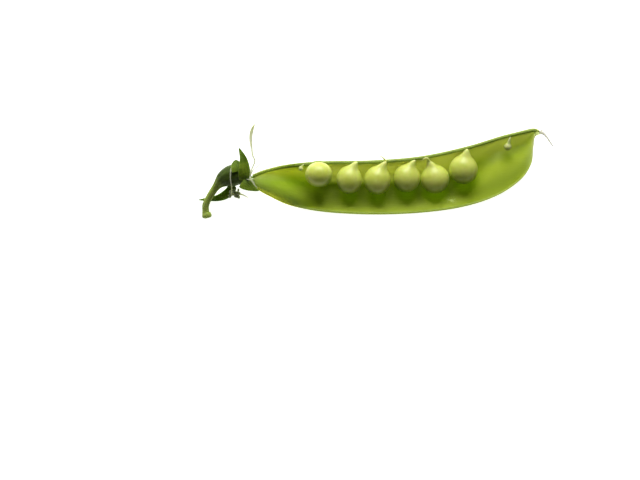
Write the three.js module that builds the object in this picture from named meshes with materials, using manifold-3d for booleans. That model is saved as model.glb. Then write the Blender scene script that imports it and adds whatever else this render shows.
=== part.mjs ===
// A garden pea pod, split open: one of its two valves lying on its back, with six peas still
// held by their seed stalks along the suture. The calyx and a length of flower stalk stay on
// the base with the withered stamens, and the dried style stays on the beak.
// Millimetres, +Z up. The origin is the middle of the small flat spot that the pod rests on.
// +X runs from the stalk to the beak, and +Y points to the suture.
import * as THREE from "three";
import { mergeVertices } from "three/addons/utils/BufferGeometryUtils.js";
import Module from "manifold-3d";

const wasm = await Module();
wasm.setup();

// Driving dimensions of the valve
const POD_LENGTH = 89; // base to the foot of the beak
const POD_DEPTH = 7.0; // rim to keel, half the thickness of the closed pod
const RESTING_FLAT = 0.35; // how far the keel is pressed flat where it rests
const WALL = 1.05; // pod wall at the keel
const THINNEST_WALL = 0.5; // pod wall where a pea presses it out
const SUTURE_RIM = 1.2; // the ridge that carries the peas
const FREE_RIM = 0.8; // the thin edge where the other valve came away
const FULL_WIDTH = 17; // valve width from which it has its full depth
const KEEL_SHARE = 0.38; // the keel's place between the suture (0) and the free edge (1)
const WALL_ROUNDNESS = 0.8; // 0.5 would make both walls meet the rim upright, 1 a shallow dish
const NARROW_END_POWER = 1.35; // how fast the valve flattens where it narrows
const EMPTY_RISE = 0.45; // share of the depth that the valve loses where no pea fills it
const EMPTY_START = 1; // where that begins, beyond the centre of the first or last pea
const EMPTY_END = 11; // and where it has all gone
const LEAST_HOLLOW = 0.1; // share of the depth that stays hollow at the ends
const BASE_CLOSING = 0.08; // share of the length in which the hollow deepens from the base
const WIDEST_RIM_SHARE = 0.3; // share of the width that a rim may take at the ends
const PEA_ROOM = 0.45; // space kept between a pea and the wall
const RIM_Z = POD_DEPTH - RESTING_FLAT;

// The valve's outline from above, one row for each station from the base to the beak:
// suture x, y and free edge x, y, in hundredths of the pod's length
const OUTLINE = [
  [-50.0, 1.7, -48.3, -3.0],
  [-45.3, 4.2, -44.9, -5.0],
  [-37.5, 5.9, -36.8, -8.6],
  [-24.9, 7.0, -24.9, -10.9],
  [-8.1, 7.3, -8.1, -11.8],
  [8.8, 8.7, 8.8, -11.2],
  [24.9, 12.1, 23.5, -9.2],
  [36.8, 15.7, 35.4, -5.4],
  [43.5, 17.4, 43.9, 0.2],
  [46.8, 18.2, 47.8, 5.9],
  [48.6, 18.5, 48.6, 11.6],
  [50.0, 18.2, 49.2, 15.4],
  [51.6, 17.1, 51.1, 16.4],
];

// The peas from the stalk to the beak. at: centre from above, width: along the pod,
// breadth: across it, rise: centre above the rim, lean: the tip's turn from +Y towards +X
// in degrees, tip: its length as a share of the radius
const PEA_THICKNESS = 8.4;
const TIP_LIFT = 22; // the seed stalk's climb over the rim, in degrees
const TIP_SPREAD = 0.19; // how widely the seed stalk flares into the pea, in radians
const PEAS = [
  { at: [-23.8, 1.6], width: 8.7, breadth: 7.8, rise: 0.9, lean: -35, tip: 0.04 },
  { at: [-14.3, 0.3], width: 7.9, breadth: 8.6, rise: -0.7, lean: 24, tip: 0.62 },
  { at: [-5.5, 0.5], width: 8.4, breadth: 8.8, rise: -0.8, lean: 26, tip: 0.58 },
  { at: [3.7, 0.8], width: 8.1, breadth: 8.6, rise: -1.3, lean: 25, tip: 0.62 },
  { at: [12.6, 1.1], width: 8.8, breadth: 8.8, rise: -1.4, lean: -23, tip: 0.62 },
  { at: [21.5, 3.5], width: 9.0, breadth: 8.8, rise: -1.3, lean: 9, tip: 0.58 },
];

// Ovules that never swelled, near the base and near the beak
const UNDEVELOPED_SEEDS = [
  { name: "undeveloped_seed_base", centre: [-29.4, 3.2, 6.5], radius: 0.75, lean: 28, tip: 1.4 },
  { name: "undeveloped_seed_beak", centre: [35.3, 10.7, 6.1], radius: 1.15, lean: 6, tip: 1.4 },
];

// The stalk from its cut end to the rim of the calyx cup: x, y, z and radius
const STALK_AND_CUP = [
  [-59.0, -11.1, 1.6, 1.5],
  [-59.2, -10.3, 1.65, 1.4],
  [-59.3, -9.5, 1.75, 0.95],
  [-59.3, -7.2, 2.2, 0.9],
  [-58.0, -4.5, 2.9, 1.0],
  [-55.9, -1.6, 4.0, 1.2],
  [-53.6, 0.3, 4.9, 2.2],
  [-51.2, 1.1, 5.3, 3.1],
  [-48.8, 1.1, 5.4, 3.5],
  [-46.2, 0.5, 5.4, 3.4],
];
const CUP_WALL = 0.75;
const CUP_FLOOR_SHARE = 0.78; // where the cup's hollow ends, along the stalk and cup

// The five sepals: each midrib from the cup to the tip, the way its upper face looks, its width,
// and its foot, which is where in its leaf shape it leaves the cup: 0 is a stem, 0.5 the widest part
const SEPAL_THICKNESS = 0.7;
const SEPAL_FOLD = 0.35; // how far the margins rise above the midrib, as a share of the half width
const SEPALS = [
  {
    midrib: [
      [-47.0, -0.6, 8.2],
      [-46.9, 1.6, 9.2],
      [-46.8, 4.2, 9.6],
      [-47.3, 7.1, 9.3],
      [-48.7, 10.3, 8.4],
    ],
    up: [-0.2, 0, 1],
    width: 3.6,
    foot: 0.25,
  },
  {
    midrib: [
      [-48.6, -1.6, 2.9],
      [-51.4, -4.0, 1.8],
      [-55.8, -5.4, 1.0],
      [-61.6, -5.8, 0.75],
    ],
    up: [0, 0.3, 1],
    width: 3.0,
    foot: 0.3,
  },
  {
    midrib: [
      [-48.2, -1.1, 7.9],
      [-46.0, -1.4, 8.6],
      [-44.5, -1.9, 8.2],
      [-42.6, -2.9, 7.3],
    ],
    up: [0.1, -0.4, 1],
    width: 3.7,
    foot: 0.38,
  },
  {
    midrib: [
      [-48.8, 3.0, 7.3],
      [-49.3, 4.3, 7.5],
      [-49.7, 5.5, 7.2],
      [-50.0, 6.7, 6.4],
    ],
    up: [0.2, 0.3, 1],
    width: 4.4,
    foot: 0.4,
  },
  {
    midrib: [
      [-46.9, 0.6, 2.3],
      [-44.8, 0.2, 1.5],
      [-42.4, -0.3, 1.1],
      [-39.4, -0.8, 1.0],
    ],
    up: [0, 0, 1],
    width: 2.8,
    foot: 0.4,
  },
];

// The pod's own short stalk inside the calyx: x, y, z and radius
const POD_STALK = [
  [-48.9, 0.8, 5.2, 0.95],
  [-46.5, 0.2, 5.2, 1.05],
  [-43.6, -0.4, 5.2, 1.25],
  [-40.6, -0.5, 3.8, 0.7],
];

// The withered stamens: a collar round the pod's stalk and the threads that grow from it
const COLLAR_CENTRE = [-45.4, 0, 5.2];
const COLLAR_RADIUS = 1.8; // to the middle of its wall
const COLLAR_HALF_WIDTH = 0.45;
const COLLAR_HALF_WALL = 0.3;
const THREAD_RADIUS = 0.32;
const THREAD_END_RADIUS = 0.24;
const STAMEN_THREADS = [
  [
    [-45.4, 1.7, 5.5],
    [-44.8, 3.6, 6.1],
    [-43.8, 6.3, 6.6],
    [-44.4, 7.8, 6.7],
    [-44.8, 10.3, 6.5],
    [-45.1, 13.4, 6.4],
    [-44.7, 15.9, 6.6],
    [-43.8, 17.8, 7.0],
  ],
  [
    [-45.4, 1.4, 6.4],
    [-44.2, 3.5, 7.2],
    [-42.6, 4.7, 7.3],
    [-41.4, 6.0, 7.5],
  ],
  [
    [-45.4, 1.3, 6.5],
    [-45.0, 3.0, 7.9],
    [-46.2, 4.6, 8.3],
    [-48.6, 4.9, 9.2],
    [-51.0, 3.8, 9.3],
    [-51.4, 0.8, 8.9],
    [-51.2, -1.9, 7.4],
    [-51.6, -4.5, 3.9],
  ],
  [
    [-51.6, -4.3, 4.0],
    [-49.6, -3.9, 3.9],
    [-47.8, -4.2, 3.6],
    [-46.0, -5.1, 3.2],
  ],
];
const ANTHER_CLUMP = { centre: [-50.8, -4.4, 3.9], radii: [1.5, 0.75, 0.65] };

// The dried style on the beak: x, y, z and radius
const STYLE = [
  [46.5, 15.0, 5.9, 0.34],
  [47.2, 14.3, 6.0, 0.3],
  [48.2, 12.9, 6.2, 0.3],
  [49.4, 10.9, 6.3, 0.42],
];

const MATERIALS = {
  pod: new THREE.MeshStandardMaterial({ color: 0x8aa32e, roughness: 0.45, metalness: 0 }),
  pea: new THREE.MeshStandardMaterial({ color: 0xc3d36a, roughness: 0.4, metalness: 0 }),
  ovule: new THREE.MeshStandardMaterial({ color: 0xbccb72, roughness: 0.45, metalness: 0 }),
  calyx: new THREE.MeshStandardMaterial({ color: 0x617a22, roughness: 0.55, metalness: 0 }),
  stamen: new THREE.MeshStandardMaterial({ color: 0xd9d9c4, roughness: 0.7, metalness: 0 }),
  style: new THREE.MeshStandardMaterial({ color: 0xd8d2a8, roughness: 0.7, metalness: 0 }),
};

const vector = (p) => new THREE.Vector3(p[0], p[1], p[2]);

// A closed skin over rings that all have the same even number of points, each wound
// anticlockwise as seen from the last ring. An end is closed by zipping its ring's two halves.
function skin(rings) {
  const count = rings[0].length;
  const last = (rings.length - 1) * count;
  const index = [];
  const quad = (a, b, c, d) => index.push(a, b, c, a, c, d);
  for (let ring = 0; ring < last; ring += count) {
    for (let i = 0; i < count; i++) {
      const next = (i + 1) % count;
      quad(ring + i, ring + next, ring + count + next, ring + count + i);
    }
  }
  for (let i = 0; i + 1 < count / 2; i++) {
    const far = count - 1 - i;
    quad(far, far - 1, i + 1, i);
    quad(last + i, last + i + 1, last + far - 1, last + far);
  }
  const positions = rings.flat().flatMap((p) => [p.x, p.y, p.z]);
  const geometry = new THREE.BufferGeometry();
  geometry.setAttribute("position", new THREE.Float32BufferAttribute(positions, 3));
  geometry.setIndex(index);
  return geometry;
}

// A closed geometry as a solid that can be joined to others
function solid(geometry) {
  geometry.deleteAttribute("normal");
  geometry.deleteAttribute("uv");
  const merged = mergeVertices(geometry);
  const vertProperties = merged.attributes.position.array;
  const triVerts = new Uint32Array(merged.index.array);
  return new wasm.Manifold(new wasm.Mesh({ numProp: 3, vertProperties, triVerts }));
}

// Several geometries fused into one body
function fuse(...geometries) {
  const whole = geometries.map(solid).reduce((a, b) => a.add(b));
  const { vertProperties, triVerts } = whole.getMesh();
  const geometry = new THREE.BufferGeometry();
  geometry.setAttribute("position", new THREE.BufferAttribute(vertProperties, 3));
  geometry.setIndex(new THREE.BufferAttribute(triVerts, 1));
  return geometry;
}

// A round or oval ring about a centre, in the plane of two directions
function ring(centre, across, above, halfWidth, halfHeight, sides) {
  return Array.from({ length: sides }, (_, i) => {
    const angle = (2 * Math.PI * i) / sides;
    return centre
      .clone()
      .addScaledVector(across, halfWidth * Math.cos(angle))
      .addScaledVector(above, halfHeight * Math.sin(angle));
  });
}

// Rings along a smooth path of rows x, y, z and radius, from a share of its length to its end
function tubeRings(rows, steps, sides, inset = 0, from = 0) {
  const path = new THREE.CatmullRomCurve3(rows.map(vector));
  const radii = new THREE.CatmullRomCurve3(rows.map((row) => new THREE.Vector3(row[3], 0, 0)));
  const { normals, binormals } = path.computeFrenetFrames(steps, false);
  const rings = [];
  for (let i = Math.ceil(from * steps); i <= steps; i++) {
    const t = path.getUtoTmapping(i / steps);
    const radius = radii.getPoint(t).x - inset;
    rings.push(ring(path.getPoint(t), normals[i], binormals[i], radius, radius, sides));
  }
  return rings;
}

// The valve: at each station the outer wall hangs as a bowl between the suture and the free
// edge, and the inner wall comes back inside it, so every section is a closed C
const outlineCurve = (column) =>
  new THREE.SplineCurve(
    OUTLINE.map((row) => new THREE.Vector2(row[column], row[column + 1]).multiplyScalar(POD_LENGTH / 100)),
  );
const sutureLine = outlineCurve(0);
const freeEdge = outlineCurve(2);

// How deep the bowl is across the valve, 0 at both rims and 1 at the keel
const keelPower = Math.log(0.5) / Math.log(KEEL_SHARE);
const bowl = (share) => Math.pow(Math.sin(Math.PI * Math.pow(share, keelPower)), WALL_ROUNDNESS);

const peaCentre = ({ at, rise }) => new THREE.Vector3(at[0], at[1], RIM_Z + rise);
const peaRadii = ({ width, breadth }) => new THREE.Vector3(width / 2, breadth / 2, PEA_THICKNESS / 2);

// A wall point that lies closer to a pea than the margin is pushed straight out from its centre
function clearOfPeas(point, margin) {
  for (const row of PEAS) {
    const centre = peaCentre(row);
    const offset = point.clone().sub(centre);
    const share = offset.clone().divide(peaRadii(row).addScalar(margin)).length();
    if (share < 1) point.copy(centre).addScaledVector(offset, 1 / share);
  }
  return point;
}

function valveRing(t, columns) {
  const suture = sutureLine.getPoint(t);
  const edge = freeEdge.getPoint(t);
  const width = suture.distanceTo(edge);
  const x = (suture.x + edge.x) / 2;
  const beyond = Math.max(PEAS[0].at[0] - x, x - PEAS.at(-1).at[0]);
  const filled = 1 - EMPTY_RISE * THREE.MathUtils.smoothstep(beyond, EMPTY_START, EMPTY_END);
  const depth = POD_DEPTH * filled * (1 - Math.pow(1 - Math.min(1, width / FULL_WIDTH), NARROW_END_POWER));
  const opened = Math.min(1, t / BASE_CLOSING);
  const innerDepth = Math.max((depth - WALL) * opened, LEAST_HOLLOW * depth);
  const sutureInset = Math.min(SUTURE_RIM / width, WIDEST_RIM_SHARE);
  const edgeInset = Math.min(FREE_RIM / width, WIDEST_RIM_SHARE);
  const hollow = 1 - sutureInset - edgeInset;
  const shares = Array.from({ length: columns + 1 }, (_, i) => (1 - Math.cos((Math.PI * i) / columns)) / 2);
  const point = (share, z, margin) => {
    const p = suture.clone().lerp(edge, share);
    const clear = clearOfPeas(new THREE.Vector3(p.x, p.y, z), margin);
    return clear.setZ(Math.max(clear.z, 0));
  };
  const outer = shares.map((share) => point(share, RIM_Z - depth * bowl(share), PEA_ROOM + THINNEST_WALL));
  const inner = shares.map((share) =>
    point(sutureInset + share * hollow, RIM_Z - innerDepth * bowl(share), PEA_ROOM),
  );
  return [...inner, ...outer.reverse()];
}

function podValve() {
  const stations = 52;
  const columns = 15;
  const rings = Array.from({ length: stations + 1 }, (_, i) => valveRing(i / stations, columns));
  return fuse(skin(rings), skin(tubeRings(POD_STALK, 8, 10)));
}

// A seed: an oval body whose radius rises to a point at the seed stalk, like an onion dome
function seed(centre, radii, lean, tip, turns, sides) {
  const leanAngle = THREE.MathUtils.degToRad(lean);
  const liftAngle = THREE.MathUtils.degToRad(TIP_LIFT);
  const axis = new THREE.Vector3(
    Math.sin(leanAngle) * Math.cos(liftAngle),
    Math.cos(leanAngle) * Math.cos(liftAngle),
    Math.sin(liftAngle),
  );
  const across = new THREE.Vector3(0, 0, 1).cross(axis).normalize();
  const above = axis.clone().cross(across);
  const pole = 0.07;
  const rings = Array.from({ length: turns + 1 }, (_, i) => {
    const polar = pole + (Math.PI - 2 * pole) * Math.pow(1 - i / turns, 1.3);
    const reach = 1 + tip * Math.exp(-polar / TIP_SPREAD);
    const middle = axis.clone().multiplyScalar(reach * Math.cos(polar));
    const radius = reach * Math.sin(polar);
    return ring(middle, across, above, radius, radius, sides).map((p) => p.multiply(radii).add(centre));
  });
  return skin(rings);
}

const pea = (row) => seed(peaCentre(row), peaRadii(row), row.lean, row.tip, 18, 16);

const undevelopedSeed = ({ centre, radius, lean, tip }) =>
  seed(vector(centre), new THREE.Vector3().setScalar(radius), lean, tip, 10, 8);

// The stalk widens into the calyx cup, and the cup's inner wall runs back to its floor
function stalkAndCup() {
  const steps = 36;
  const sides = 14;
  const outer = tubeRings(STALK_AND_CUP, steps, sides);
  const inner = tubeRings(STALK_AND_CUP, steps, sides, CUP_WALL, CUP_FLOOR_SHARE);
  return skin([...outer, ...inner.reverse()]);
}

// A sepal: a thin pointed blade, whose width is a sine along the leaf, folded along its midrib
function sepal({ midrib, up, width, foot }) {
  const steps = 10;
  const sides = 10;
  const tipRadius = 0.12;
  const path = new THREE.CatmullRomCurve3(midrib.map(vector));
  const rings = Array.from({ length: steps + 1 }, (_, i) => {
    const u = i / steps;
    const along = path.getTangent(u);
    const across = vector(up).cross(along).normalize();
    const above = along.clone().cross(across);
    const halfWidth = tipRadius + (width / 2) * Math.sin(Math.PI * (foot + (1 - foot) * u));
    const halfHeight = (SEPAL_THICKNESS / 2) * (1 - 0.5 * u);
    const flat = ring(path.getPoint(u), across, above, halfWidth, halfHeight, sides);
    return flat.map((p, k) => {
      const fromMidrib = Math.abs(Math.cos((2 * Math.PI * k) / sides));
      return p.addScaledVector(above, SEPAL_FOLD * halfWidth * Math.pow(fromMidrib, 1.5));
    });
  });
  return skin(rings);
}

const calyxWithStalk = () => fuse(stalkAndCup(), ...SEPALS.map(sepal));

// The collar lies round the pod's stalk, and the threads are sunk into its wall
function collar() {
  const inner = COLLAR_RADIUS - COLLAR_HALF_WALL;
  const outer = COLLAR_RADIUS + COLLAR_HALF_WALL;
  const corners = [
    [inner, -COLLAR_HALF_WIDTH],
    [outer, -COLLAR_HALF_WIDTH],
    [outer, COLLAR_HALF_WIDTH],
    [inner, COLLAR_HALF_WIDTH],
    [inner, -COLLAR_HALF_WIDTH],
  ];
  const section = corners.map((corner) => new THREE.Vector2(...corner));
  return new THREE.LatheGeometry(section, 18).rotateZ(-Math.PI / 2).translate(...COLLAR_CENTRE);
}

// A thread through points, drawn out thinner towards its end
function thread(points) {
  const rows = points.map((p, i) => {
    const radius = THREE.MathUtils.lerp(THREAD_RADIUS, THREAD_END_RADIUS, i / (points.length - 1));
    return [...p, radius];
  });
  return skin(tubeRings(rows, 4 * points.length, 6));
}

function witheredStamens() {
  const { centre, radii } = ANTHER_CLUMP;
  const clump = new THREE.SphereGeometry(1, 10, 8).scale(...radii).translate(...centre);
  return fuse(collar(), clump, ...STAMEN_THREADS.map(thread));
}

const pod = new THREE.Group();
pod.name = "pea_pod";

function place(name, geometry, material) {
  geometry.computeVertexNormals();
  const mesh = new THREE.Mesh(geometry, material);
  mesh.name = name;
  pod.add(mesh);
}

place("pod_valve", podValve(), MATERIALS.pod);
PEAS.forEach((row, i) => place(`pea_${i + 1}`, pea(row), MATERIALS.pea));
UNDEVELOPED_SEEDS.forEach((row) => place(row.name, undevelopedSeed(row), MATERIALS.ovule));
place("calyx_with_stalk", calyxWithStalk(), MATERIALS.calyx);
place("withered_stamens", witheredStamens(), MATERIALS.stamen);
place("dried_style", skin(tubeRings(STYLE, 8, 6)), MATERIALS.style);

export default pod;
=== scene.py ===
import bpy
import numpy as np
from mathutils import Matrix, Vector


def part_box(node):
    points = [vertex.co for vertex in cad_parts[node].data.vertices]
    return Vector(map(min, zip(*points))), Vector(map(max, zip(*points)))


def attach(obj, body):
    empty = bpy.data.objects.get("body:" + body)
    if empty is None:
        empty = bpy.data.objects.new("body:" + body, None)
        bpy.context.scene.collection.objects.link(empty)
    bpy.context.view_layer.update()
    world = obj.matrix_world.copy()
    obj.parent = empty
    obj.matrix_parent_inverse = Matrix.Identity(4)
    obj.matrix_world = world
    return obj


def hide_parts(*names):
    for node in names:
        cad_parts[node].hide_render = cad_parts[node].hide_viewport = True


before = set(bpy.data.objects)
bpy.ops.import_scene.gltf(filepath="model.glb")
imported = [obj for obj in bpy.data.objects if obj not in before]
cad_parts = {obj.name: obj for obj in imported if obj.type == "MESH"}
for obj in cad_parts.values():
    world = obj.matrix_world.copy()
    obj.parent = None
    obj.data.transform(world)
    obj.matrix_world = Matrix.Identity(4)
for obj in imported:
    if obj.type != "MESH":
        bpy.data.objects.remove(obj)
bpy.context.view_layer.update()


# The valve: one of the two halves of the pod, a fleshy wall with a moist lining and a firm
# skin. It grew as one piece between the thick suture, which carries the peas, and the free
# edge, where its other half came away when the pod was split by hand.

MM = 0.001
valve_high = np.array(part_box("pod_valve")[1]) / MM
BEAK_SHARE = 0.516  # the beak's place, counted from the middle in pod lengths
POD_LENGTH = valve_high[0] / BEAK_SHARE
RIM_Z = valve_high[2]
RESTING_FLAT = 0.35  # the depth of keel that its own weight presses flat
POD_DEPTH = RIM_Z + RESTING_FLAT
WALL = 1.05
THINNEST_WALL = 0.5
SUTURE_RIM = 1.2
FREE_RIM = 0.8
FULL_WIDTH = 17
KEEL_SHARE = 0.38
WALL_ROUNDNESS = 0.8
BASE_ROUNDNESS = 1.25
NARROW_END_POWER = 1.35
BEAK_RISE = 0.45  # the share of the depth that is lost at the empty ends
BASE_RISE = 0.62
EMPTY_START = 1  # past the middle of the first and the last pea, as the next two are
BEAK_EMPTY_END = 11
BASE_EMPTY_END = 15
LEAST_HOLLOW = 0.1
BASE_CLOSING = 0.08  # the share of the length over which the hollow opens
WIDEST_RIM_SHARE = 0.3  # of the valve's width
FAR_INSET = 0.3  # what is left of the suture's inset at the free edge
INSET_POWER = 9
PEA_ROOM = 0.45  # between a pea and the lining
SUTURE_RIDGE_HEIGHT = 0.3
BASE_RIDGE_LOSS = 0.8
FREE_LIP_HEIGHT = 0.22
LOW_LIP_WIDTH = 4  # where the valve is narrower than this, its lips are lower
LIP_POINTS = 8

# suture x, y and free edge x, y at stations from the base to the beak, in hundredths of the length
OUTLINE = [
    (-50.2, 2.3, -48.3, -3.0),
    (-45.3, 4.2, -44.9, -5.0),
    (-37.5, 5.9, -36.8, -8.6),
    (-24.9, 7.0, -24.9, -10.9),
    (-8.1, 7.3, -8.1, -11.8),
    (8.8, 8.7, 8.8, -11.2),
    (24.9, 12.1, 23.5, -9.2),
    (36.8, 15.7, 35.4, -5.4),
    (43.5, 17.4, 43.9, 0.2),
    (46.8, 18.2, 47.8, 5.9),
    (48.6, 18.5, 48.6, 11.6),
    (50.0, 18.2, 49.2, 15.4),
    (51.6, 17.1, 51.1, 16.4),
]
# where seeds that never swelled have pressed the wall out: x, y and reach in mm
IMPRESSIONS = np.array([(30.7, 8.6, 3.3), (38.2, 10.5, 3.0)])
IMPRESSION_SHARE = 0.05  # their depth as a share of the valve's

PEA_NODES = [f"pea_{i}" for i in range(1, 7)]
PEA_BREADTHS = np.array([7.8, 8.8, 9.0, 8.8, 9.0, 9.1])  # across the row
PEA_SWELL = np.array([0, 0.12, 0, 0.22, 0.14, 0])  # added along the row to each radius
PEA_SAG = np.array([0, 0, 0.35, 0, 0.55, 0])  # away from the suture
pea_boxes = np.array([[list(corner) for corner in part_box(node)] for node in PEA_NODES]) / MM
pea_radii = (pea_boxes[:, 1] - pea_boxes[:, 0]) / 2
pea_radii[:, 0] += PEA_SWELL
pea_radii[:, 1] = PEA_BREADTHS / 2
pea_centres = (pea_boxes[:, 1] + pea_boxes[:, 0]) / 2
pea_centres[:, 1] = pea_boxes[:, 0, 1] + pea_radii[:, 1] - PEA_SAG


def catmull_rom(points, share):
    """Smooth curve through points: a cubic between each two neighbours, whose slope at a point
    is half the step between the points beside it. share is 0 at the first point, 1 at the last."""
    points = np.asarray(points, float)
    last = len(points) - 1
    place = np.clip(share, 0, 1) * last
    i = np.minimum(place.astype(int), last - 1)
    w = (place - i)[..., None]
    before, here = points[np.maximum(i - 1, 0)], points[i]
    ahead, beyond = points[i + 1], points[np.minimum(i + 2, last)]
    slope_here, slope_ahead = (ahead - before) / 2, (beyond - here) / 2
    bend = 2 * here - 2 * ahead + slope_here + slope_ahead
    lean = -3 * here + 3 * ahead - 2 * slope_here - slope_ahead
    return ((bend * w + lean) * w + slope_here) * w + here


def clear_of_peas(points, margin):
    """Points closer to a pea than the margin are moved straight out from its centre, on to an
    oval that is larger than the pea by that margin."""
    for centre, radii in zip(pea_centres, pea_radii):
        offset = points - centre
        share = np.linalg.norm(offset / (radii + margin), axis=-1, keepdims=True)
        points = np.where(share < 1, centre + offset / np.maximum(share, 1e-6), points)
    return points


def bowl(share, roundness):
    """Depth across the valve: a power of a half sine wave, warped so that its deepest point,
    1, is at the keel and both rims, at shares 0 and 1, are 0."""
    keel_power = np.log(0.5) / np.log(KEEL_SHARE)
    return np.abs(np.sin(np.pi * share**keel_power)) ** roundness


def add_mesh(name, vertices, faces, attributes):
    """An object at the origin from vertices in mm, faces and one number per vertex for each
    named attribute."""
    mesh = bpy.data.meshes.new(name)
    mesh.from_pydata((np.reshape(vertices, (-1, 3)) * MM).tolist(), [], faces.tolist())
    mesh.shade_smooth()
    for attribute, values in attributes.items():
        layer = mesh.attributes.new(attribute, "FLOAT", "POINT")
        layer.data.foreach_set("value", np.ravel(values).astype(np.float32))
    piece = bpy.data.objects.new(name, mesh)
    bpy.context.scene.collection.objects.link(piece)
    return piece


def loft(name, rings, attributes):
    """Closed skin over rings (ring, point, xyz), each wound anticlockwise as seen from the last:
    quads join each ring to the next, and an end is zipped shut between its ring's two halves."""
    count, sides = rings.shape[:2]
    corner = np.arange(count * sides).reshape(count, sides)
    here, ahead = corner[:-1], corner[1:]
    wall = np.stack([here, np.roll(here, -1, 1), np.roll(ahead, -1, 1), ahead], -1).reshape(-1, 4)
    near = np.arange(sides // 2 - 1)
    far = sides - 1 - near
    start = corner[0][np.stack([far, far - 1, near + 1, near], -1)]
    end = corner[-1][np.stack([near, near + 1, far - 1, far], -1)]
    return add_mesh(name, rings, np.concatenate([wall, start, end]), attributes)


def valve_surface(stations, columns):
    """At each station a closed C: the inner wall hangs as a bowl from the suture to the free
    edge, a round lip turns over that edge, the outer wall hangs outside the inner one on the
    way back, and a round ridge closes the suture."""
    t = np.linspace(0, 1, stations)
    share = (1 - np.cos(np.linspace(0, np.pi, columns))) / 2
    outline = catmull_rom(np.array(OUTLINE) * POD_LENGTH / 100, t)
    suture, edge = outline[:, None, :2], outline[:, None, 2:]
    width = np.linalg.norm(edge - suture, axis=-1)
    x = (suture + edge)[..., 0] / 2
    beyond = np.maximum(pea_centres[0, 0] - x, x - pea_centres[-1, 0])
    empty_end = np.where(x < 0, BASE_EMPTY_END, BEAK_EMPTY_END)
    empty = np.clip((beyond - EMPTY_START) / (empty_end - EMPTY_START), 0, 1)
    filled = 1 - np.where(x < 0, BASE_RISE, BEAK_RISE) * empty**2 * (3 - 2 * empty)
    depth = POD_DEPTH * filled * (1 - (1 - np.minimum(1, width / FULL_WIDTH)) ** NARROW_END_POWER)
    opened = np.minimum(1, t / BASE_CLOSING)[:, None]
    roundness = np.where(x < 0, WALL_ROUNDNESS + (BASE_ROUNDNESS - WALL_ROUNDNESS) * empty, WALL_ROUNDNESS)
    hang = bowl(share, roundness)
    inner_depth = np.maximum((depth - WALL) * opened, LEAST_HOLLOW * depth)
    suture_inset = np.minimum(SUTURE_RIM / width, WIDEST_RIM_SHARE)
    edge_inset = np.minimum(FREE_RIM / width, WIDEST_RIM_SHARE)

    def wall(across, drop, margin):
        """The surface that hangs by drop below the line from the suture to the free edge,
        bulged by a flat-topped bell at each impression and flat where it rests."""
        place = suture + (edge - suture) * across[..., None]
        off = np.linalg.norm(place[..., None, :] - IMPRESSIONS[:, :2], axis=-1) / IMPRESSIONS[:, 2]
        pressed = 1 + IMPRESSION_SHARE * np.exp(-(off**4)).sum(-1)
        points = np.concatenate([place, (RIM_Z - drop * pressed)[..., None]], -1)
        points = clear_of_peas(points, margin)
        points[..., 2] = np.maximum(points[..., 2], 0)
        return points

    under_ridge = FAR_INSET + (1 - FAR_INSET) * (1 - share) ** INSET_POWER
    inner_across = share + suture_inset * (1 - share) * under_ridge - edge_inset * share
    inner = wall(inner_across, inner_depth * hang, PEA_ROOM)
    outer_across = np.broadcast_to(share, inner_across.shape)
    outer = wall(outer_across, depth * hang, PEA_ROOM + THINNEST_WALL)

    def lip(start, stop, height):
        """Half a sine wave of that height over the line from start to stop."""
        s = np.linspace(0, 1, LIP_POINTS + 2)[1:-1, None]
        arc = start + (stop - start) * s
        arc[..., 2] += (height * np.sin(np.pi * s))[..., 0]
        return arc

    thin_ends = np.minimum(1, width / LOW_LIP_WIDTH)
    lip_height = FREE_LIP_HEIGHT * thin_ends
    ridge_height = SUTURE_RIDGE_HEIGHT * thin_ends * np.where(x < 0, 1 - BASE_RIDGE_LOSS * empty, 1)
    free_lip = lip(inner[:, -1:], outer[:, -1:], lip_height[..., None])
    suture_ridge = lip(outer[:, :1], inner[:, :1], ridge_height[..., None])
    rings = np.concatenate([inner, free_lip, outer[:, ::-1], suture_ridge], 1)
    pieces = [columns, LIP_POINTS, columns, LIP_POINTS]
    inside = np.repeat([1, 0.5, 0, 0.5], pieces)
    rim = np.repeat([0, 0, 0, 1], pieces)
    free = np.repeat([0, 1, 0, 0], pieces)
    across = np.concatenate([share, np.ones(LIP_POINTS), share[::-1], np.zeros(LIP_POINTS)])
    half_lip = LIP_POINTS // 2
    attributes = {
        name: np.broadcast_to(np.roll(values, half_lip), rings.shape[:2])
        for name, values in {"inside": inside, "rim": rim, "free": free, "across": across}.items()
    }
    rings = np.roll(rings, half_lip, axis=1)
    return rings, attributes


# The pale bell at the base end is painted light on the suture half of the valve; the beak's bell makes the
# beak paler.
PALE_BASE_STRENGTH = 0.5
PALE_BASE_REACH = 6
PALE_BEAK_REACH = 3.2
ROW_OVERHANG = 2  # how far the painted shade and light of the row go past the outer peas' middles
ROW_FADE = 4
BASE_FADE = 6
# The hollow tint is also painted shade and light: it is moved 2 mm towards the free edge, where the peas'
# shadows fall, and its colour sets their tone.
HOLLOW_SHADOW_SHIFT = (0, 2, 0)
HOLLOW_SHADOW_REACH = 1.25  # in radii of the pea whose hollow and shadow it tints
HOLLOW_SHADOW_POWER = 6
SCUFF_PLACE = (17.8, -5.8)
SCUFF_SIZE = (1.2, 0.9)


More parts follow.
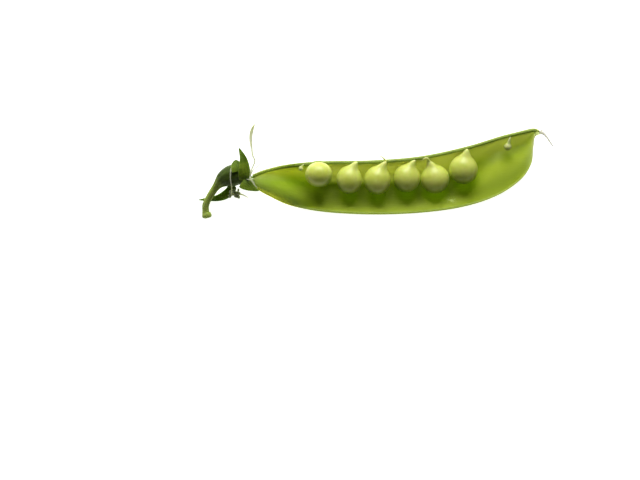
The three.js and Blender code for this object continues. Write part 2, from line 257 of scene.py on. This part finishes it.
def valve_tints(rings, across):
    """How strongly each tint shows at a point: bells round both ends, round the scuff and, with
    flat tops, round the hollows that the peas pressed, moved towards the free edge where the peas'
    shadows fall, and ramps along the row and the base. The tints at the hollows, along the row and
    at the base are painted shade and light, and so is the bell at the base end."""
    x = rings[..., 0]
    base_x, beak_x = OUTLINE[0][0] * POD_LENGTH / 100, OUTLINE[-1][0] * POD_LENGTH / 100
    base_painted_light = np.exp(-(((x - base_x) / PALE_BASE_REACH) ** 2)) * (1 - across)
    pale_beak = np.exp(-(((beak_x - x) / PALE_BEAK_REACH) ** 2))
    row_start, row_end = pea_centres[0, 0] - ROW_OVERHANG, pea_centres[-1, 0] + ROW_OVERHANG
    within_row = np.minimum(x - row_start, row_end - x)
    from_pea = np.min([
        np.linalg.norm((rings - centre + HOLLOW_SHADOW_SHIFT) / radii, axis=-1)
        for centre, radii in zip(pea_centres, pea_radii)
    ], axis=0)
    from_scuff = np.linalg.norm((rings[..., :2] - SCUFF_PLACE) / SCUFF_SIZE, axis=-1)
    return {
        "ends": PALE_BASE_STRENGTH * base_painted_light + pale_beak,
        # base: a ramp towards the base end, which carries the base end's colours, mostly darker there as
        # painted shade.
        "base": np.clip((row_start - x) / BASE_FADE, 0, 1),
        "row": np.clip(within_row / ROW_FADE, 0, 1),
        "hollow_and_shadow_tint": np.exp(-((from_pea / HOLLOW_SHADOW_REACH) ** HOLLOW_SHADOW_POWER)),
        "scuff": np.exp(-(from_scuff**2)),
    }


def linear(red, green, blue):
    """A colour given as 0 to 255 on screen, as the linear numbers that shaders take."""
    screen = np.array([red, green, blue]) / 255
    return (*np.where(screen <= 0.04045, screen / 12.92, ((screen + 0.055) / 1.055) ** 2.4), 1)


class Finish:
    """A material under construction: its nodes, its links and its Principled shader."""

    def __init__(self, name, roughness, subsurface, scatter_mm, specular):
        self.material = bpy.data.materials.new(name)
        self.material.use_nodes = True
        self.nodes = self.material.node_tree.nodes
        self.links = self.material.node_tree.links
        self.shader = self.nodes["Principled BSDF"]
        self.shader.inputs["Roughness"].default_value = roughness
        self.shader.inputs["Subsurface Weight"].default_value = subsurface
        self.shader.inputs["Subsurface Radius"].default_value = scatter_mm
        self.shader.inputs["Subsurface Scale"].default_value = MM
        self.shader.inputs["Specular IOR Level"].default_value = specular
        self.place = self.nodes.new("ShaderNodeTexCoord").outputs["Object"]

    def attribute(self, name):
        """The mesh's own number of that name."""
        node = self.nodes.new("ShaderNodeAttribute")
        node.attribute_name = name
        return node.outputs["Fac"]

    def stretched(self, scale, turn):
        """Object coordinates, turned and scaled, for a pattern that runs one way."""
        node = self.nodes.new("ShaderNodeMapping")
        node.inputs["Scale"].default_value = scale
        node.inputs["Rotation"].default_value = turn
        self.links.new(self.place, node.inputs["Vector"])
        return node.outputs["Vector"]

    def noise(self, scale, detail=3, vector=None):
        """Soft noise of about scale cells a metre."""
        node = self.nodes.new("ShaderNodeTexNoise")
        node.inputs["Scale"].default_value = scale
        node.inputs["Detail"].default_value = detail
        self.links.new(vector or self.place, node.inputs["Vector"])
        return node.outputs["Fac"]

    def veins(self, scale, vector=None):
        """The distance to a net of lines, with about scale meshes a metre."""
        node = self.nodes.new("ShaderNodeTexVoronoi")
        node.feature = "DISTANCE_TO_EDGE"
        node.inputs["Scale"].default_value = scale
        self.links.new(vector or self.place, node.inputs["Vector"])
        return node.outputs["Distance"]

    def between(self, value, low, high):
        """A smooth step from 0 at low to 1 at high."""
        node = self.nodes.new("ShaderNodeMapRange")
        node.interpolation_type = "SMOOTHSTEP"
        node.inputs["From Min"].default_value = low
        node.inputs["From Max"].default_value = high
        self.links.new(value, node.inputs["Value"])
        return node.outputs["Result"]

    def product(self, first, second):
        """The first number times the second."""
        node = self.nodes.new("ShaderNodeMath")
        node.operation = "MULTIPLY"
        self.links.new(first, node.inputs[0])
        self.links.new(second, node.inputs[1])
        return node.outputs["Value"]

    def mix(self, share, first, second):
        """A colour that goes from the first to the second as share goes from 0 to 1."""
        node = self.nodes.new("ShaderNodeMix")
        node.data_type = "RGBA"
        self.links.new(share, node.inputs["Factor"])
        for socket, value in zip((node.inputs[6], node.inputs[7]), (first, second)):
            if isinstance(value, tuple):
                socket.default_value = value
            else:
                self.links.new(value, socket)
        return node.outputs[2]

    def relief(self, height, depth_mm):
        """Bump for detail too fine for the mesh."""
        node = self.nodes.new("ShaderNodeBump")
        node.inputs["Distance"].default_value = depth_mm * MM
        self.links.new(height, node.inputs["Height"])
        return node.outputs["Normal"]

    def finish(self, colour, normal=None):
        """The material, with its colour and any bumps joined to the shader."""
        self.links.new(colour, self.shader.inputs["Base Color"])
        if normal is not None:
            self.links.new(normal, self.shader.inputs["Normal"])
        return self.material


def pod_wall_material():
    """Yellow-green lining with painted light and shade: paler by the suture, whose wall shades it
    from the lamp, and darker towards the free edge, which the lamp lights most; painted shade in a
    band along the row of peas; a greener tint round each pea's hollow, painted to set the tone of
    the shadow that the pea casts there; and darker at the base's rims, as painted shade against the
    table's light through the thin wall. Deeper green skin, and greyer green rims. The lining has
    faint slanting fibres and a scuff, and the skin a fine net of veins."""
    wall = Finish("pod_wall", roughness=0.5, subsurface=1.0, scatter_mm=(2.2, 2.2, 1.6), specular=0.06)
    across, base, row = wall.attribute("across"), wall.attribute("base"), wall.attribute("row")
    # The lining's colours across the valve are partly painted light and shade: paler by the suture, which the
    # wall shades from the lamp, and darker towards the free edge, which the lamp lights most. The second
    # colour of each pair is for the base end, and is mostly darker there, as painted shade.
    by_suture_painted_light = wall.mix(base, linear(206, 213, 156), linear(210, 220, 118))
    middle = wall.mix(base, linear(192, 206, 74), linear(180, 202, 56))
    by_edge_painted_shade = wall.mix(base, linear(130, 148, 30), linear(100, 121, 20))
    # Along the row of peas the free edge's side is lighter, as painted light.
    by_edge_painted_shade = wall.mix(row, by_edge_painted_shade, linear(146, 162, 52))
    # At the base end the rims are darker, as painted shade: the suture rim is darkened to match the shadow
    # line under it, and the free lip is darkened against the table's light through the thin wall.
    suture_green = wall.mix(base, linear(150, 168, 88), linear(124, 142, 54))
    edge_green = wall.mix(base, linear(152, 170, 78), linear(64, 82, 16))
    # Along the row the lining is painted: paler next to the suture, as painted light, and darker in a band
    # between the peas, as painted shade where their shadows run together.
    by_peas_painted_light, row_painted_shade, hollow_and_shadow_tint = linear(216, 221, 168), linear(156, 171, 44), linear(177, 200, 42)
    # base_margin_painted_shade is painted shade: it darkens the free-edge margin of the base end against the
    # table's light through the thin wall.
    base_margin_painted_shade, pale_end, scuffed = linear(66, 86, 12), linear(192, 206, 156), linear(188, 204, 124)
    vein, skin = linear(120, 147, 52), linear(104, 130, 40)

    lining = wall.mix(wall.between(across, 0.15, 0.5), by_suture_painted_light, middle)
    row_painted_light_and_shade = wall.mix(wall.between(across, 0.32, 0.46), by_peas_painted_light, row_painted_shade)
    lining = wall.mix(row, lining, row_painted_light_and_shade)
    lining = wall.mix(wall.between(across, 0.42, 0.92), lining, by_edge_painted_shade)
    lining = wall.mix(wall.product(base, wall.between(across, 0.78, 0.98)), lining, base_margin_painted_shade)
    # The greener tint round each pea's hollow also sets the tone of the shadow that the pea casts there, as
    # painted shade and light.
    lining = wall.mix(wall.attribute("hollow_and_shadow_tint"), lining, hollow_and_shadow_tint)
    # pale_end: the paler beak, and painted light on the suture half of the base end.
    lining = wall.mix(wall.attribute("ends"), lining, pale_end)
    scuff_patches = wall.between(wall.noise(1600), 0.4, 0.6)
    lining = wall.mix(wall.product(wall.attribute("scuff"), scuff_patches), lining, scuffed)
    net = wall.between(wall.veins(1700, wall.stretched((0.45, 1, 1), (0, 0, 0.5))), 0.0, 0.14)
    colour = wall.mix(wall.attribute("inside"), wall.mix(net, vein, skin), lining)
    colour = wall.mix(wall.attribute("rim"), colour, suture_green)
    colour = wall.mix(wall.attribute("free"), colour, edge_green)
    fibres = wall.noise(900, 2, wall.stretched((0.25, 1.6, 1.6), (0, 0, 0.6)))
    return wall.finish(colour, wall.relief(fibres, 0.05))


# x, y, z and radius along the pod's own short stalk
POD_STALK = [
    (-48.9, 0.8, 5.2, 0.95),
    (-46.5, 0.2, 5.2, 1.0),
    (-44.3, -0.3, 5.3, 1.2),
    (-43.0, -0.6, 5.0, 0.9),
]
POD_STALK_FLATNESS = 0.6


def tube(rows, steps, sides, ribs=0, rib_height=0.0, inset=0.0, start=0.0, flatness=1.0):
    """A round profile carried along a smooth path of rows x, y, z and radius: each ring lies
    across the path, with its first point level, ribs swell the radius as a cosine, and
    flatness is its height as a share of its width."""
    t = np.linspace(start, 1, steps)
    line = catmull_rom(rows, t)
    centre, radius = line[:, :3], line[:, 3] - inset
    along = np.gradient(centre, axis=0)
    along /= np.linalg.norm(along, axis=1, keepdims=True)
    across = np.cross((0, 0, 1), along)
    across /= np.linalg.norm(across, axis=1, keepdims=True)
    above = np.cross(along, across)
    angle = np.linspace(0, 2 * np.pi, sides, endpoint=False)
    reach = radius[:, None] * (1 + rib_height * np.cos(ribs * angle))
    rings = centre[:, None] + (reach * np.cos(angle))[..., None] * across[:, None]
    return rings + flatness * (reach * np.sin(angle))[..., None] * above[:, None]


pod_wall = pod_wall_material()
valve_rings, valve_attributes = valve_surface(stations=320, columns=64)
valve_attributes |= valve_tints(valve_rings, valve_attributes["across"])
valve = loft("pod_valve_look", valve_rings, valve_attributes)
stalk_rings = tube(POD_STALK, steps=30, sides=24, flatness=POD_STALK_FLATNESS)
stalk_tints = dict.fromkeys(valve_attributes, 0) | {"inside": 1, "across": 0.5, "base": 1, "ends": 1}
stalk_attributes = {name: np.full(stalk_rings.shape[:2], tint) for name, tint in stalk_tints.items()}
pod_stalk = loft("pod_stalk_look", stalk_rings, stalk_attributes)
for piece in (valve, pod_stalk):
    piece.data.materials.append(pod_wall)
    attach(piece, "root")
    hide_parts("pod_valve")


# The peas: six fresh seeds with a smooth waxy coat, a little longer than they are thick. Each
# grew on a short seed stalk, which flares out of the pea to a hooked point on the suture.

TIP_LIFT = np.radians(22)
TIP_SPREAD = 0.14
TIP_CROWDING = 1.3  # above 1, the rings lie closer towards the tip
POLE_GAP = 0.02
DENT_HEIGHT = 0.008
DENT_STEP = 1.7  # radians that the dents of a pea are turned against those of the one before
# lean of the seed stalk in degrees, its length as a share of the pea's radius, its hook in mm
# and the roundness of its end in radians
PEA_STALKS = [
    (-35, 0.03, 0, 0.1),
    (20, 0.44, 0.5, 0.17),
    (22, 0.48, 0.5, 0.15),
    (20, 0.46, 0.6, 0.12),
    (-18, 0.5, -0.7, 0.11),
    (9, 0.5, 0, 0.15),
]
FIRST_PEA_SHIFT = (0, 0.4, 0.2)
# x, y, z and radius along the loose hooks of seed stalk beside two of the peas
LOOSE_SEED_STALKS = {
    "pea_3": [(-3.0, 6.0, 7.4, 0.32), (-3.3, 6.7, 7.9, 0.24), (-4.1, 7.4, 8.2, 0.16), (-5.0, 7.9, 8.1, 0.08)],
    "pea_5": [(10.6, 6.2, 7.7, 0.4), (9.9, 7.0, 8.2, 0.34), (9.0, 6.8, 8.1, 0.26), (8.4, 6.0, 7.4, 0.16)],
}


def seed(centre, radii, stalk_shape, turns, sides, dent_turn):
    """An oval whose radius rises exponentially to a hooked, rounded seed stalk, in rings from
    the far pole to the tip. Its shallow dents are products of sines of both angles, turned by
    dent_turn in radians."""
    lean_degrees, length, hook, roundness = stalk_shape
    lean = np.radians(lean_degrees)
    axis = np.array(
        [np.sin(lean) * np.cos(TIP_LIFT), np.cos(lean) * np.cos(TIP_LIFT), np.sin(TIP_LIFT)]
    )
    across = np.cross((0, 0, 1), axis)
    across /= np.linalg.norm(across)
    above = np.cross(axis, across)
    s = np.linspace(0, 1, turns)
    polar = (np.pi - POLE_GAP) * (1 - s) ** TIP_CROWDING + POLE_GAP
    angle = np.linspace(0, 2 * np.pi, sides, endpoint=False)
    polar, angle = np.meshgrid(polar, angle, indexing="ij")
    stalk = np.exp((roundness - np.hypot(polar, roundness)) / TIP_SPREAD)
    dents = np.sin(3 * angle + dent_turn) * np.sin(2 * polar)
    dents = dents + np.sin(2 * angle - dent_turn) * np.sin(3 * polar)
    reach = 1 + length * stalk + DENT_HEIGHT * dents * np.sin(polar)
    points = (reach * np.cos(polar))[..., None] * axis
    points = points + (reach * np.sin(polar) * np.cos(angle))[..., None] * across
    points = points + (reach * np.sin(polar) * np.sin(angle))[..., None] * above
    points = centre + points * radii
    points[..., 0] += hook * stalk**2
    return points, {"stalk": stalk, "far": polar / np.pi}


def pea_material():
    """Pale yellow-green coat, blotched a little, paler at the seed stalk and greener on the
    side away from it, which faces away from the lamp: that green is painted shade, the green of
    light bounced from the lining. The coat has fine pores and a waxy sheen over translucent flesh."""
    coat = Finish("pea_coat", roughness=0.36, subsurface=0.35, scatter_mm=(1.2, 1.6, 0.6), specular=0.5)
    blotches = coat.between(coat.noise(300), 0.35, 0.7)
    colour = coat.mix(blotches, linear(214, 225, 94), linear(228, 236, 116))
    # Greener on the far side, away from the lamp, as painted shade.
    colour = coat.mix(coat.between(coat.attribute("far"), 0.45, 0.85), colour, linear(186, 210, 82))
    colour = coat.mix(coat.attribute("stalk"), colour, linear(230, 236, 138))
    pores = coat.relief(coat.noise(5000, 2), 0.02)
    return coat.finish(colour, pores)


def dress_pea(piece, node):
    """The piece gets the coat of a pea and stands for that pea's solid."""
    piece.data.materials.append(pea_coat)
    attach(piece, "root")
    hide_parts(node)


pea_coat = pea_material()
pea_centres[0] += FIRST_PEA_SHIFT
for number, node in enumerate(PEA_NODES):
    place, radii, stalk_shape = pea_centres[number], pea_radii[number], PEA_STALKS[number]
    rings, attributes = seed(
        place, radii, stalk_shape, turns=100, sides=96, dent_turn=DENT_STEP * number
    )
    dress_pea(loft(f"{node}_look", rings, attributes), node)
for node, rows in LOOSE_SEED_STALKS.items():
    rings = tube(rows, steps=40, sides=16)
    on_stalk = np.ones(rings.shape[:2])
    dress_pea(loft(f"{node}_stalk", rings, {"stalk": on_stalk, "far": 0 * on_stalk}), node)


# The undeveloped seeds: two ovules that never swelled, one near each end of the row. They are
# soft, pale and moist, and hang from the suture by their own seed stalks.

# radius, the seed stalk as for the peas, and a shift from the solid's place
OVULES = {
    "undeveloped_seed_base": (0.75, (28, 1.2, 0.3, 0.1), (0, 0.7, 0.4)),
    "undeveloped_seed_beak": (1.15, (10, 1.9, 0.2, 0.1), (0, 0, 0)),
}

ovule_coat = Finish("ovule_coat", roughness=0.3, subsurface=0.5, scatter_mm=(0.6, 0.8, 0.3), specular=0.5)
# The ovules' colours are lighter than their own, as painted light against the shade of the suture rim over
# them.
ovule_pale_with_painted_light = ovule_coat.finish(
    ovule_coat.mix(ovule_coat.attribute("stalk"), linear(228, 237, 150), linear(238, 245, 184))
)
for node, (radius, stalk_shape, shift) in OVULES.items():
    low, high = (np.array(corner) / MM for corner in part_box(node))
    centre = (low + high) / 2
    centre[1:] = low[1:] + radius
    centre += shift
    rings, attributes = seed(
        centre, np.full(3, radius), stalk_shape, turns=60, sides=40, dent_turn=radius
    )
    ovule = loft(f"{node}_look", rings, attributes)
    ovule.data.materials.append(ovule_pale_with_painted_light)
    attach(ovule, "root")
    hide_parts(node)


# The calyx with its stalk: the green leafy cup that the pod grew out of, on a length of cut
# stalk. Five sepals grow from its rim, most of them folded a little along the midrib.

# x, y, z and radius from the cut end of the stalk to the rim of the cup
STALK_AND_CUP = [
    (-58.9, -11.5, 1.6, 0.9),
    (-59.0, -11.1, 1.6, 1.45),
    (-59.3, -10.3, 1.65, 1.45),
    (-59.5, -9.5, 1.75, 1.1),
    (-59.4, -7.2, 2.2, 1.08),
    (-58.0, -4.5, 2.9, 1.08),
    (-55.9, -1.5, 4.0, 1.3),
    (-53.8, 0.5, 4.9, 2.5),
    (-51.6, 1.5, 5.3, 3.3),
    (-49.1, 2.1, 5.4, 3.2),
    (-46.6, 1.7, 5.4, 2.9),
]
CUP_WALL = 0.5
CUP_FLOOR_SHARE = 0.82
CUP_RIBS = {"sides": 60, "ribs": 10, "rib_height": 0.02}
OUTSIDE_STEPS = 150
INSIDE_STEPS = 40
STALK_TOP_SHARE = 0.55
CUP_TINT_FADE = 0.15
SEPAL_HALF_THICKNESS = 0.22
SEPAL_THINNING = 0.6  # the share of its thickness that a sepal loses towards its point
SEPAL_POINT = 0.06
FOLD_POWER = 1.5
VEIN_HEIGHT = 0.05
VEIN_HALF_WAVES = 6
# for each sepal its midrib, the side that faces up, its width, where in its leaf shape it
# leaves the cup, from 0 at the leaf's narrow foot to 0.5 at its widest, and how far its
# margins are folded up
SEPALS = {
    "sepal_upright": (
        [(-47.0, 0.2, 8.4), (-46.9, 1.8, 9.2), (-46.8, 4.2, 9.6), (-47.3, 7.1, 9.3), (-48.7, 10.3, 8.4)],
        (-0.2, 0, 1),
        3.6,
        0.25,
        0.35,
    ),
    "sepal_under_stalk": (
        [(-50.6, -1.2, 3.0), (-52.2, -3.6, 1.9), (-55.8, -5.3, 1.0), (-62.0, -5.8, 0.75)],
        (0, 0.3, 1),
        3.0,
        0.3,
        0.35,
    ),
    "sepal_over_pod": (
        [(-47.5, -0.2, 8.9), (-46.3, -1.0, 9.1), (-44.8, -2.0, 9.0), (-42.4, -3.1, 8.6)],
        (0, 0.3, 1),
        4.2,
        0.38,
        -0.1,
    ),
    "sepal_upper": (
        [(-48.8, 3.0, 8.6), (-49.2, 4.3, 8.5), (-49.5, 5.4, 7.9), (-49.7, 6.6, 6.9)],
        (0.2, 0.3, 1),
        4.4,
        0.4,
        0.35,
    ),
    "sepal_under_pod": (
        [(-46.9, 0.6, 2.3), (-44.8, 0.2, 1.5), (-42.4, -0.3, 1.1), (-39.4, -0.8, 1.0)],
        (0, 0, 1),
        2.8,
        0.4,
        0.35,
    ),
}


def sepal_surface(midrib, up, width, foot, folded, steps, sides):
    """A thin oval profile carried along the midrib: its half width is a sine, which starts at
    the foot and ends in a point, and its margins are lifted by a power of the distance from
    the midrib. Veins are a cosine across the leaf."""
    u = np.linspace(0, 1, steps)
    centre = catmull_rom(midrib, u)
    along = np.gradient(centre, axis=0)
    along /= np.linalg.norm(along, axis=1, keepdims=True)
    across = np.cross(up, along)
    across /= np.linalg.norm(across, axis=1, keepdims=True)
    above = np.cross(along, across)
    half_width = SEPAL_POINT + width / 2 * np.sin(np.pi * (foot + (1 - foot) * u))
    half_height = SEPAL_HALF_THICKNESS * (1 - SEPAL_THINNING * u)
    angle = np.linspace(0, 2 * np.pi, sides, endpoint=False)
    sideways = half_width[:, None] * np.cos(angle)
    from_midrib = np.abs(np.cos(angle))
    veins = VEIN_HEIGHT * np.cos(VEIN_HALF_WAVES * np.pi * from_midrib) * np.sin(np.pi * u)[:, None]
    fold = folded * half_width[:, None] * from_midrib**FOLD_POWER
    upwards = half_height[:, None] * np.sin(angle) + fold + veins
    rings = centre[:, None] + sideways[..., None] * across[:, None] + upwards[..., None] * above[:, None]
    shape = rings.shape[:2]
    attributes = {
        "margin": np.broadcast_to(from_midrib, shape),
        "cup_painted_shade": np.zeros(shape),
        "stalk": np.zeros(shape),
    }
    return rings, attributes


def calyx_material():
    """Leaf green in patches, paler along the thin margins, darker on the cup, as painted shade, and
    olive on the stalk, with a soft sheen and fine veins."""
    leaf = Finish("calyx_leaf", roughness=0.5, subsurface=0.3, scatter_mm=(0.4, 0.6, 0.1), specular=0.15)
    blotches = leaf.between(leaf.noise(260), 0.35, 0.7)
    colour = leaf.mix(blotches, linear(92, 118, 20), linear(128, 152, 34))
    edge = leaf.between(leaf.attribute("margin"), 0.93, 1.0)
    colour = leaf.mix(edge, colour, linear(168, 182, 100))
    # The cup is darker, as painted shade.
    colour = leaf.mix(leaf.attribute("cup_painted_shade"), colour, linear(72, 92, 24))
    colour = leaf.mix(leaf.attribute("stalk"), colour, linear(162, 182, 80))
    veins = leaf.between(leaf.veins(1500), 0.0, 0.15)
    return leaf.finish(colour, leaf.relief(veins, 0.04))


calyx_leaf = calyx_material()
cup_outside = tube(STALK_AND_CUP, OUTSIDE_STEPS, **CUP_RIBS)
cup_inside = tube(STALK_AND_CUP, INSIDE_STEPS, inset=CUP_WALL, start=CUP_FLOOR_SHARE, **CUP_RIBS)
cup_rings = np.concatenate([cup_outside, cup_inside[::-1]])
up_outside, down_inside = np.linspace(0, 1, OUTSIDE_STEPS), np.linspace(1, CUP_FLOOR_SHARE, INSIDE_STEPS)
up_the_stalk = np.concatenate([up_outside, down_inside])[:, None]
on_cup = np.clip((up_the_stalk - STALK_TOP_SHARE) / CUP_TINT_FADE, 0, 1)
on_cup = np.broadcast_to(on_cup, cup_rings.shape[:2])
cup_attributes = {"margin": 0 * on_cup, "cup_painted_shade": on_cup, "stalk": 1 - on_cup}
calyx_pieces = [loft("calyx_cup_and_stalk", cup_rings, cup_attributes)]
for name, sepal in SEPALS.items():
    calyx_pieces.append(loft(name, *sepal_surface(*sepal, steps=60, sides=64)))
for piece in calyx_pieces:
    piece.data.materials.append(calyx_leaf)
    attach(piece, "root")
    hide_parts("calyx_with_stalk")


# The withered stamens: dry papery filaments on a collar round the pod's stalk. They dried on
# there while the pod grew, and a clump of dead anthers hangs at the end of one.

COLLAR_CENTRE = np.array([-45.4, 0, 5.2])
COLLAR_RADIUS = 1.8
COLLAR_HALF_THICKNESS = 0.28
COLLAR_POINTS = 48
RIBBON_FLATNESS = 0.3
STEPS_PER_POINT = 16
# each filament's path and its half width along it, and how far it has withered
STAMEN_THREADS = {
    "long_filament": (
        [
            (-45.4, 1.7, 5.5, 0.25),
            (-44.8, 3.6, 6.1, 0.22),
            (-43.8, 6.3, 6.6, 0.25),
            (-44.4, 7.8, 6.7, 0.28),
            (-44.8, 10.3, 6.5, 0.34),
            (-45.1, 13.4, 6.4, 0.5),
            (-44.7, 15.9, 6.6, 0.48),
            (-43.8, 17.8, 7.0, 0.12),
        ],
        0.0,
    ),
    "short_filament": (
        [(-45.4, 1.4, 6.4, 0.2), (-44.2, 3.5, 7.2, 0.16), (-42.6, 4.7, 7.3, 0.15), (-41.4, 6.0, 7.5, 0.1)],
        0.0,
    ),
    "looped_filament": (
        [
            (-45.4, 1.3, 6.5, 0.2),
            (-45.2, 3.2, 6.9, 0.2),
            (-46.4, 4.7, 6.6, 0.2),
            (-48.8, 5.6, 6.3, 0.18),
            (-50.9, 4.0, 8.4, 0.26),
            (-51.3, 0.8, 9.0, 0.16),
            (-51.0, -1.9, 7.4, 0.16),
            (-51.4, -4.5, 3.9, 0.25),
        ],
        0.5,
    ),
    "hanging_filament": (
        [(-51.6, -4.3, 4.0, 0.4), (-49.6, -3.9, 3.9, 0.3), (-47.8, -4.2, 3.6, 0.22), (-46.0, -5.1, 3.2, 0.1)],
        0.5,
    ),
    "torn_sheath": (
        [(-46.2, 0.4, 9.7, 0.15), (-44.8, 0.1, 9.8, 0.24), (-43.9, -1.2, 9.6, 0.22), (-43.0, -2.4, 9.1, 0.1)],
        0.6,
    ),
}
ANTHERS = 14
CLUMP_CENTRE = np.array([-50.2, -4.0, 3.6])
CLUMP_HALF_SIZE = np.array([1.7, 1.2, 0.7])
SMALLEST_ANTHER, LARGEST_ANTHER = 0.3, 0.75  # half sizes
PALEST_ANTHER, DARKEST_ANTHER = 0.1, 0.8
ANTHER_TIP = 0.3
ANTHER_ROUNDNESS = 0.1
DRAWS = np.random.default_rng(6)

papery = Finish("papery_filament", roughness=0.65, subsurface=0.8, scatter_mm=(0.6, 0.6, 0.45), specular=0.3)
# The papery and withered colours are partly painted light: they are lighter than the stamens' own colour, so
# that the anthers in the cup's shadow still come out pale.
papery_colour = papery.mix(
    papery.between(papery.noise(500), 0.35, 0.7), linear(226, 229, 210), linear(212, 216, 190)
)
withered_colour_with_painted_light = linear(202, 211, 148)
papery_filament = papery.finish(papery.mix(papery.attribute("withered"), papery_colour, withered_colour_with_painted_light))


def filament(name, rows, withered):
    """A flat ribbon along a smooth path, which withers further to a darker colour in its last
    third."""
    rings = tube(rows, STEPS_PER_POINT * len(rows), sides=16, flatness=RIBBON_FLATNESS)
    share = np.linspace(0, 1, len(rings))[:, None]
    dry = np.clip(withered + np.clip(3 * share - 2, 0, 1) ** 2, 0, 1)
    return loft(name, rings, {"withered": dry + np.zeros(rings.shape[:2])})


stamen_pieces = [filament(name, *thread) for name, thread in STAMEN_THREADS.items()]
turn = np.linspace(0, 2 * np.pi, COLLAR_POINTS, endpoint=False)
collar_path = COLLAR_CENTRE + COLLAR_RADIUS * np.column_stack([0 * turn, np.cos(turn), np.sin(turn)])
collar_rows = np.column_stack([collar_path, np.full(COLLAR_POINTS, COLLAR_HALF_THICKNESS)])
collar_rings = tube(collar_rows, steps=96, sides=12)
stamen_pieces.append(loft("stamen_collar", collar_rings, {"withered": np.zeros(collar_rings.shape[:2])}))
for number in range(ANTHERS):
    place = CLUMP_CENTRE + CLUMP_HALF_SIZE * DRAWS.uniform(-1, 1, 3)
    half_sizes = DRAWS.uniform(SMALLEST_ANTHER, LARGEST_ANTHER, 3)
    tip_shape = (DRAWS.uniform(-90, 90), ANTHER_TIP, 0, ANTHER_ROUNDNESS)
    rings, attributes = seed(place, half_sizes, tip_shape, turns=16, sides=14, dent_turn=number)
    shade = DRAWS.uniform(PALEST_ANTHER, DARKEST_ANTHER)
    stamen_pieces.append(loft(f"anther_{number + 1}", rings, {"withered": shade + 0 * attributes["stalk"]}))
for piece in stamen_pieces:
    piece.data.materials.append(papery_filament)
    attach(piece, "root")
    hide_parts("withered_stamens")


# The dried style: the withered thread that carried the stigma, still on the beak. It has dried
# to a few frayed fibres.

# x, y, z and half width along each fibre
STYLE_FIBRES = {
    "dried_style_look": [
        (45.2, 15.4, 6.6, 0.5),
        (46.2, 15.0, 6.9, 0.4),
        (47.3, 13.8, 7.0, 0.28),
        (48.4, 12.2, 6.9, 0.22),
        (49.5, 10.7, 6.7, 0.14),
    ],
    "style_fibre_upper": [(45.6, 15.6, 6.7, 0.2), (46.2, 16.0, 7.0, 0.14), (46.8, 15.5, 7.2, 0.08)],
    "style_fibre_lower": [(45.6, 15.0, 6.6, 0.2), (46.6, 14.4, 6.7, 0.14), (47.4, 14.1, 6.6, 0.08)],
}
dry_style = Finish("dry_style", roughness=0.65, subsurface=0.3, scatter_mm=(0.6, 0.6, 0.45), specular=0.3)
style_cream = dry_style.finish(
    dry_style.mix(dry_style.attribute("withered"), linear(248, 245, 222), linear(251, 249, 238))
)
for name, rows in STYLE_FIBRES.items():
    fibre = filament(name, rows, 0.0)
    fibre.data.materials.append(style_cream)
    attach(fibre, "root")
    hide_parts("dried_style")


# The studio: a white light table, one wide soft lamp low behind the pod and a weak even fill.
# The camera looks straight down, as over a copy stand.

TABLE_HALF = 3  # in metres, as the lamp's sizes are
TABLE_GLOW = 0.97
FILL_STRENGTH = 0.06
LAMP_PLACE = np.array([-0.03, 0.66, 0.36])
LAMP_SIZE = (0.7, 0.36)
LAMP_WATTS = 6.4
FRAME_PIXELS = (640, 480)
PIXEL_MM = 0.3125
ORIGIN_PIXEL = (395, 181)
LENS_MM = 90
SENSOR_MM = 36

floor_mesh = bpy.data.meshes.new("light_table")
floor_corners = [(x * TABLE_HALF, y * TABLE_HALF, 0) for x, y in ((-1, -1), (1, -1), (1, 1), (-1, 1))]
floor_mesh.from_pydata(floor_corners, [], [(0, 1, 2, 3)])
floor = bpy.data.objects.new("light_table", floor_mesh)
bpy.context.scene.collection.objects.link(floor)
table_top = bpy.data.materials.new("light_table")
table_top.use_nodes = True
table_shader = table_top.node_tree.nodes["Principled BSDF"]
table_shader.inputs["Base Color"].default_value = (0.9, 0.9, 0.9, 1)
table_shader.inputs["Roughness"].default_value = 0.8
table_shader.inputs["Emission Color"].default_value = (1, 1, 1, 1)
table_shader.inputs["Emission Strength"].default_value = TABLE_GLOW
floor_mesh.materials.append(table_top)

world = bpy.data.worlds.new("studio")
world.use_nodes = True
background = world.node_tree.nodes["Background"]
background.inputs["Color"].default_value = (1, 1, 1, 1)
background.inputs["Strength"].default_value = FILL_STRENGTH
bpy.context.scene.world = world

lamp_data = bpy.data.lights.new("soft_lamp", "AREA")
lamp_data.shape = "ELLIPSE"
lamp_data.size, lamp_data.size_y = LAMP_SIZE
lamp_data.energy = LAMP_WATTS
lamp = bpy.data.objects.new("soft_lamp", lamp_data)
bpy.context.scene.collection.objects.link(lamp)
lamp.location = LAMP_PLACE
lamp.rotation_euler = (np.arctan2(-LAMP_PLACE[1], LAMP_PLACE[2]), 0, 0)

camera_data = bpy.data.cameras.new("camera")
camera_data.lens = LENS_MM
camera_data.sensor_width = SENSOR_MM
camera_data.clip_start = 0.01
camera = bpy.data.objects.new("camera", camera_data)
bpy.context.scene.collection.objects.link(camera)
distance = FRAME_PIXELS[0] * PIXEL_MM * LENS_MM / SENSOR_MM
camera.location = (
    (FRAME_PIXELS[0] / 2 - ORIGIN_PIXEL[0]) * PIXEL_MM * MM,
    (ORIGIN_PIXEL[1] - FRAME_PIXELS[1] / 2) * PIXEL_MM * MM,
    (RIM_Z + distance) * MM,
)
bpy.context.scene.camera = camera
bpy.context.scene.view_settings.view_transform = "Standard"
